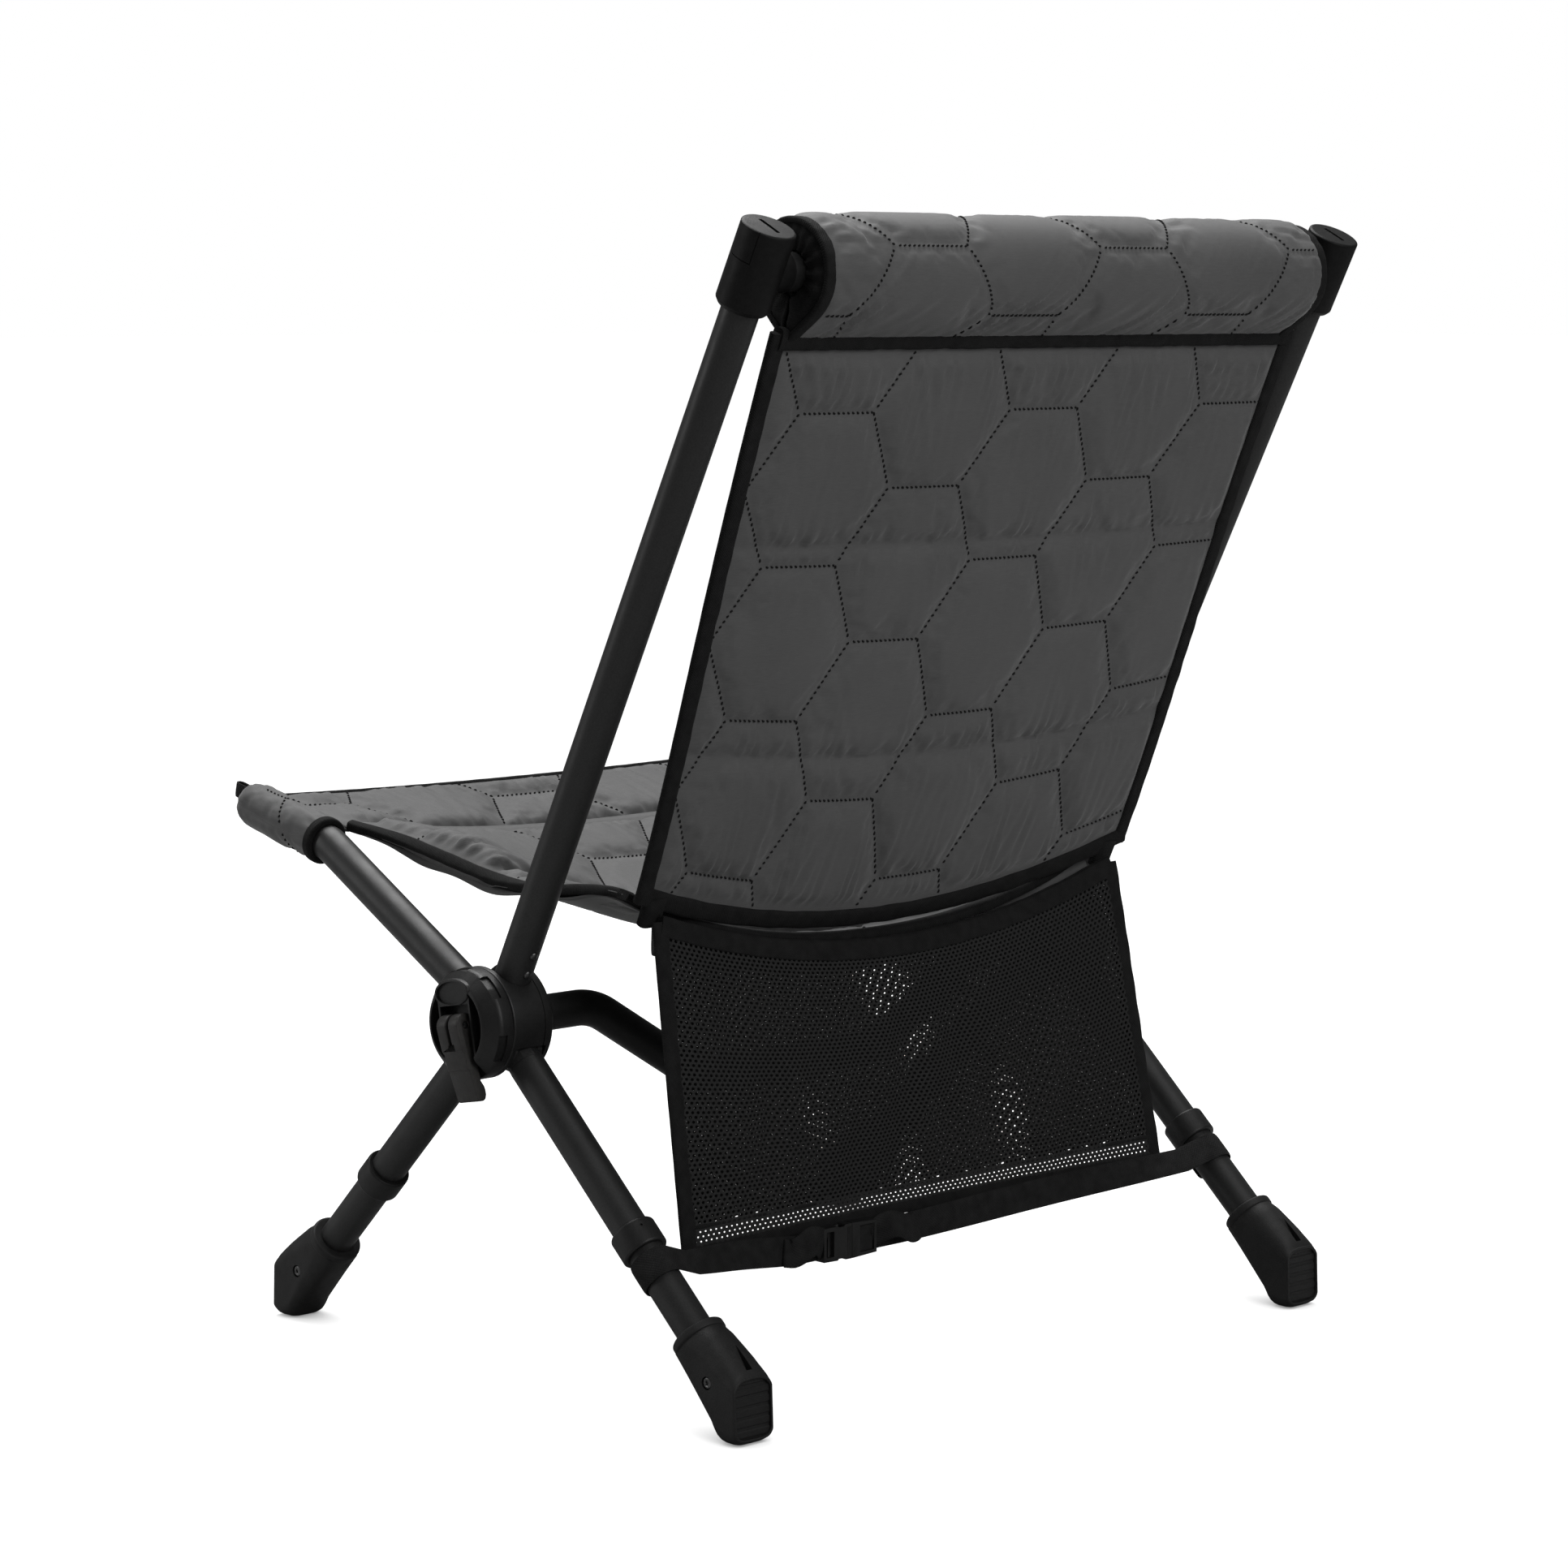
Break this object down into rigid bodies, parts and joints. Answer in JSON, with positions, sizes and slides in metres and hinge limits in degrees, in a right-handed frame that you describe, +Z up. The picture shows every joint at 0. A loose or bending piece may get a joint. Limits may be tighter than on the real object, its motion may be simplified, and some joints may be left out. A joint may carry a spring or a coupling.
{
  "type": "low folding camping chair",
  "caption": "Low folding camping chair with coplanar X side frames on round hubs, a quilted sling seat and back, a head bolster and a rear mesh pocket.",
  "frame": {"origin": "centre of the bounding box footprint, on the floor", "axes": "+Z up, +X to the sitter's left, -Y the way the sitter faces"},
  "size_m": [0.631, 0.5894, 0.7802],
  "materials": {
    "tube_paint": "satin charcoal powder coat on 25 mm aluminium tube",
    "black_plastic": "fine-textured moulded nylon",
    "lever_plastic": "warm dark grey moulded nylon",
    "foot_rubber": "firm matt rubber",
    "dark_steel": "blackened steel",
    "grey_quilt": "quilted polyester with a slight sheen",
    "black_mesh": "open polyester mesh",
    "black_webbing": "ribbed 20 mm webbing"
  },
  "bodies": {
    "back_frame": {"hub_housing_left": "black_plastic", "hub_housing_right": "black_plastic", "hub_cap_left": "black_plastic", "hub_cap_right": "black_plastic", "cam_bolt_left": "dark_steel", "cam_bolt_right": "dark_steel", "lever_pin_left": "dark_steel", "lever_pin_right": "dark_steel", "bolt_nut_left": "dark_steel", "bolt_nut_right": "dark_steel", "seat_pin_left": "dark_steel", "seat_pin_right": "dark_steel", "rear_pin_left": "dark_steel", "rear_pin_right": "dark_steel", "upright_left": "tube_paint", "upright_right": "tube_paint", "upright_rivet_left_1": "dark_steel", "upright_rivet_right_1": "dark_steel", "upright_rivet_left_2": "dark_steel", "upright_rivet_right_2": "dark_steel", "top_cap_left": "black_plastic", "top_cap_right": "black_plastic", "crossbar_collar_left": "black_plastic", "crossbar_collar_right": "black_plastic", "front_leg_left": "tube_paint", "front_leg_right": "tube_paint", "front_ring_left": "black_plastic", "front_ring_right": "black_plastic", "front_foot_left": "foot_rubber", "front_foot_right": "foot_rubber", "front_foot_left_screw": "dark_steel", "front_foot_right_screw": "dark_steel", "top_crossbar": "tube_paint", "crossbar": "tube_paint", "back_panel": "grey_quilt", "seat_panel": "grey_quilt", "head_bolster": "grey_quilt", "mesh_pocket": "black_mesh"},
    "seat_frame": {"seat_pole_left": "tube_paint", "seat_pole_right": "tube_paint", "seat_lug_left": "tube_paint", "seat_lug_right": "tube_paint", "corner_pocket_left": "grey_quilt", "corner_pocket_right": "grey_quilt"},
    "rear_legs": {"rear_leg_left": "tube_paint", "rear_leg_right": "tube_paint", "rear_lug_left": "tube_paint", "rear_lug_right": "tube_paint", "rear_ring_left": "black_plastic", "rear_ring_right": "black_plastic", "rear_foot_left": "foot_rubber", "rear_foot_right": "foot_rubber", "rear_foot_left_screw": "dark_steel", "rear_foot_right_screw": "dark_steel", "strap_left": "black_webbing", "strap_right": "black_webbing", "buckle_socket": "black_plastic"},
    "buckle_plug": {"buckle_plug": "black_plastic"},
    "lever_left": {"cam_lever_left": "lever_plastic"},
    "lever_right": {"cam_lever_right": "lever_plastic"}
  },
  "joints": [
    {"name": "seat_fold", "type": "hinge", "parent": "back_frame", "child": "seat_frame", "pos_m": [0, -0.01934, 0.25561], "axis": [-1, 0, 0], "range_deg": [0, 84]},
    {"name": "rear_leg_fold", "type": "hinge", "parent": "back_frame", "child": "rear_legs", "pos_m": [0, 0.02272, 0.2256], "axis": [-1, 0, 0], "range_deg": [0, 86]},
    {"name": "lever_left_flip", "type": "hinge", "parent": "back_frame", "child": "lever_left", "pos_m": [0.3075, 0.0034, 0.243], "axis": [0, -0.9816, -0.1908], "range_deg": [0, 110]},
    {"name": "lever_right_flip", "type": "hinge", "parent": "back_frame", "child": "lever_right", "pos_m": [-0.3075, 0.0034, 0.243], "axis": [0, 0.9816, 0.1908], "range_deg": [0, 110]},
    {"name": "buckle_release", "type": "slide", "parent": "rear_legs", "child": "buckle_plug", "axis": [-1, 0, 0], "range_m": [0, 0.0165]}
  ]
}
